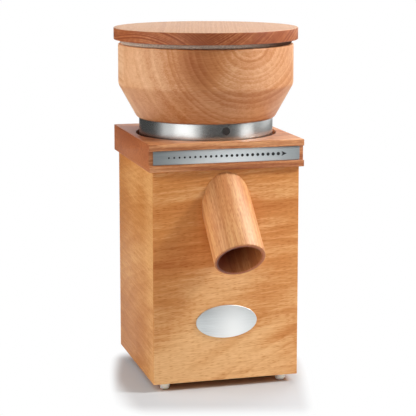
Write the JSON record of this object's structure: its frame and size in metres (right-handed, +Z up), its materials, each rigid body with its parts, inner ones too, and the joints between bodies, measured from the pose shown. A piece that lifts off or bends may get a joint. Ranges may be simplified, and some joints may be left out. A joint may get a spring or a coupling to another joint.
{
  "type": "electric grain mill",
  "caption": "Household stone mill in a wooden box case: round lidded hopper on a steel ring that turns to set the grind, oblique spout and oval plaque in front.",
  "frame": {"origin": "on the table under the axis of the millstones, hopper and motor, in the plane of the feet", "axes": "+Z up along the millstones' axis; the front panel with the spout faces -Y; +X is the right side seen from the front"},
  "size_m": [0.197, 0.2476, 0.3748],
  "materials": {
    "front_beech": "oiled beech, level grain",
    "side_beech": "oiled beech, level grain",
    "head_beech": "oiled reddish beech",
    "spout_beech": "oiled beech, grain along the tube",
    "hopper_beech": "oiled beech with arched figure",
    "lid_beech": "oiled pale beech",
    "inner_beech": "raw beech",
    "ring_steel": "satin stainless steel",
    "scale_steel": "satin stainless steel",
    "plaque_steel": "fine brushed stainless steel",
    "grey_felt": "pressed felt",
    "millstone": "corundum and ceramic, rough",
    "grey_plastic": "glass-filled moulding",
    "black_plastic": "moulded",
    "white_plastic": "moulded",
    "black_rubber": "moulded",
    "cast_aluminium": "as cast",
    "sheet_steel": "blued laminations",
    "bright_steel": "ground",
    "screw_steel": "zinc plated",
    "copper_wire": "enamelled copper"
  },
  "bodies": {
    "housing": {"left_panel": "side_beech", "right_panel": "side_beech", "front_panel": "front_beech", "back_panel": "side_beech", "corner_blocks": "inner_beech", "base_board": "inner_beech", "feet": "white_plastic", "head_slab": "head_beech", "scale_plate": "scale_steel", "oval_plaque": "plaque_steel", "spout_tube": "spout_beech", "grinding_chamber": "grey_plastic", "shaft_seal": "black_rubber", "upper_end_bell": "cast_aluminium", "lower_end_bell": "cast_aluminium", "upper_bearing": "bright_steel", "lower_bearing": "bright_steel", "stator_core": "sheet_steel", "motor_windings": "copper_wire", "motor_bolts": "screw_steel", "capacitor": "white_plastic", "capacitor_clip": "screw_steel", "terminal_block": "white_plastic", "switch_frame": "black_plastic", "cable_gland": "black_plastic", "gland_nut": "black_plastic"},
    "rotor": {"motor_shaft": "bright_steel", "rotor_core": "sheet_steel", "cooling_fan": "black_plastic", "flour_sweeper": "grey_plastic", "stone_carrier": "cast_aluminium", "lower_stone": "millstone", "centre_screw": "screw_steel"},
    "hopper": {"steel_ring": "ring_steel", "setting_dot": "black_plastic", "hopper_bowl": "hopper_beech", "feed_tube": "inner_beech", "finger_guard": "ring_steel", "drive_keys": "screw_steel"},
    "stone_holder": {"upper_stone_holder": "grey_plastic", "upper_stone": "millstone"},
    "lid": {"lid_disc": "lid_beech", "lid_spigot": "lid_beech", "lid_seal": "grey_felt"},
    "rocker": {"switch_rocker": "black_plastic"}
  },
  "joints": [
    {"name": "hopper_turn", "type": "hinge", "parent": "housing", "child": "hopper", "pos_m": [0, 0, 0.2638], "axis": [0, 0, 1], "range_deg": [-60, 60]},
    {"name": "holder_rise", "type": "slide", "parent": "hopper", "child": "stone_holder", "axis": [0, 0, 1], "range_m": [-0.00051, 0.00051]},
    {"name": "lid_lift", "type": "slide", "parent": "hopper", "child": "lid", "axis": [0, 0, 1], "range_m": [0, 0.06]},
    {"name": "motor_spin", "type": "hinge", "parent": "housing", "child": "rotor", "pos_m": [0, 0, 0.1473], "axis": [0, 0, 1], "continuous": true},
    {"name": "switch_press", "type": "hinge", "parent": "housing", "child": "rocker", "pos_m": [0, 0.0803, 0.1633], "axis": [-1, 0, 0], "range_deg": [0, 20]}
  ],
  "couplings": [
    {"joint": "holder_rise", "follows": "hopper_turn", "m_per_rad": 0.00047746}
  ]
}
